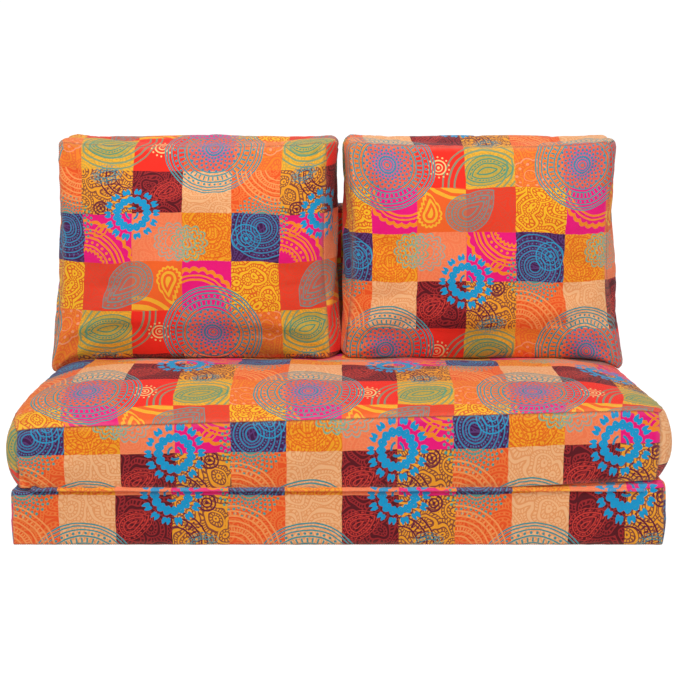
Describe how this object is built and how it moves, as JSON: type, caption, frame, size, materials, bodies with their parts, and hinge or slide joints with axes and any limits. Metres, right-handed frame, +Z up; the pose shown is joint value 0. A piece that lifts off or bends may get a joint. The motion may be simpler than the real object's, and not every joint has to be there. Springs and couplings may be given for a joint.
{
  "type": "sofa bed",
  "caption": "Fold-out sofa bed of foam sections in patchwork covers, with a crowned seat and loose box pillows.",
  "frame": {"origin": "on the floor, below the middle of the whole object's box", "axes": "+X along the width, to the right of someone who faces the front; +Y to the rear; +Z up"},
  "size_m": [1.2512, 0.7029, 0.7419],
  "materials": {
    "cover_cloth": "printed cotton weave",
    "foam": "open-cell foam",
    "wadding": "fibre wadding",
    "zip_tape": "woven tape with a plastic coil",
    "zip_metal": "die-cast"
  },
  "bodies": {
    "base": {"base_foam_core": "foam", "base_bottom_panel": "cover_cloth", "base_boxing": "cover_cloth", "base_top_panel": "cover_cloth", "base_zip": "zip_tape", "front_hinge_seam": "cover_cloth", "rear_bridge": "cover_cloth"},
    "seat": {"seat_foam_core": "foam", "seat_crown_wadding": "wadding", "seat_bottom_panel": "cover_cloth", "seat_boxing": "cover_cloth", "seat_top_panel": "cover_cloth", "seat_zip": "zip_tape"},
    "backrest": {"backrest_foam_core": "foam", "backrest_rear_panel": "cover_cloth", "backrest_boxing": "cover_cloth", "backrest_front_panel": "cover_cloth", "backrest_zip": "zip_tape"},
    "pillow_left": {"pillow_left_fill": "wadding", "pillow_left_back_panel": "cover_cloth", "pillow_left_boxing": "cover_cloth", "pillow_left_front_panel": "cover_cloth", "pillow_left_zip": "zip_tape"},
    "pillow_right": {"pillow_right_fill": "wadding", "pillow_right_back_panel": "cover_cloth", "pillow_right_boxing": "cover_cloth", "pillow_right_front_panel": "cover_cloth", "pillow_right_zip": "zip_tape"},
    "base_slider": {"base_zip_slider": "zip_metal"},
    "base_pull": {"base_zip_pull": "zip_metal"},
    "seat_slider": {"seat_zip_slider": "zip_metal"},
    "seat_pull": {"seat_zip_pull": "zip_metal"},
    "backrest_slider": {"backrest_zip_slider": "zip_metal"},
    "backrest_pull": {"backrest_zip_pull": "zip_metal"},
    "pillow_left_slider": {"pillow_left_zip_slider": "zip_metal"},
    "pillow_left_pull": {"pillow_left_zip_pull": "zip_metal"},
    "pillow_right_slider": {"pillow_right_zip_slider": "zip_metal"},
    "pillow_right_pull": {"pillow_right_zip_pull": "zip_metal"}
  },
  "joints": [
    {"name": "seat_unfold", "type": "hinge", "parent": "base", "child": "seat", "pos_m": [0, -0.3525, 0.10815], "axis": [1, 0, 0], "range_deg": [0, 180]},
    {"name": "backrest_fold", "type": "hinge", "parent": "base", "child": "backrest", "pos_m": [0, 0.3275, 0.024], "axis": [-1, 0, 0], "range_deg": [0, 90]},
    {"name": "pillow_left_carry", "type": "hinge", "parent": "seat", "child": "pillow_left", "pos_m": [0, 0.17843, 0.108], "axis": [1, 0, 0], "range_deg": [-262, 0]},
    {"name": "pillow_right_carry", "type": "hinge", "parent": "seat", "child": "pillow_right", "pos_m": [0, 0.17843, 0.108], "axis": [1, 0, 0], "range_deg": [-262, 0]},
    {"name": "base_zip_slide", "type": "slide", "parent": "base", "child": "base_slider", "axis": [0, 1, 0], "range_m": [0, 0.4]},
    {"name": "base_zip_pull_swing", "type": "hinge", "parent": "base_slider", "child": "base_pull", "pos_m": [0.6054, -0.2565, 0.054], "axis": [0, 0, 1], "range_deg": [0, 170]},
    {"name": "seat_zip_slide", "type": "slide", "parent": "seat", "child": "seat_slider", "axis": [0, 1, 0], "range_m": [0, 0.34]},
    {"name": "seat_zip_pull_swing", "type": "hinge", "parent": "seat_slider", "child": "seat_pull", "pos_m": [0.6274, -0.2265, 0.1723], "axis": [0, 0, 1], "range_deg": [0, 170]},
    {"name": "backrest_zip_slide", "type": "slide", "parent": "backrest", "child": "backrest_slider", "axis": [0, 0, 1], "range_m": [0, 0.38]},
    {"name": "backrest_zip_pull_swing", "type": "hinge", "parent": "backrest_slider", "child": "backrest_pull", "pos_m": [0.6054, 0.2975, 0.1], "axis": [0, -1, 0], "range_deg": [0, 170]},
    {"name": "pillow_left_zip_slide", "type": "slide", "parent": "pillow_left", "child": "pillow_left_slider", "axis": [1, 0, 0], "range_m": [0, 0.36]},
    {"name": "pillow_left_zip_pull_swing", "type": "hinge", "parent": "pillow_left_slider", "child": "pillow_left_pull", "pos_m": [-0.485, 0.19031, 0.28521], "axis": [0, -0.6794, -0.7337], "range_deg": [0, 170]},
    {"name": "pillow_right_zip_slide", "type": "slide", "parent": "pillow_right", "child": "pillow_right_slider", "axis": [1, 0, 0], "range_m": [0, 0.36]},
    {"name": "pillow_right_zip_pull_swing", "type": "hinge", "parent": "pillow_right_slider", "child": "pillow_right_pull", "pos_m": [0.125, 0.19031, 0.28521], "axis": [0, -0.6794, -0.7337], "range_deg": [0, 170]}
  ],
  "couplings": [
    {"joint": "backrest_fold", "follows": "seat_unfold", "ratio": 0.5},
    {"joint": "pillow_left_carry", "follows": "seat_unfold", "ratio": -1.4556},
    {"joint": "pillow_right_carry", "follows": "seat_unfold", "ratio": -1.4556}
  ]
}
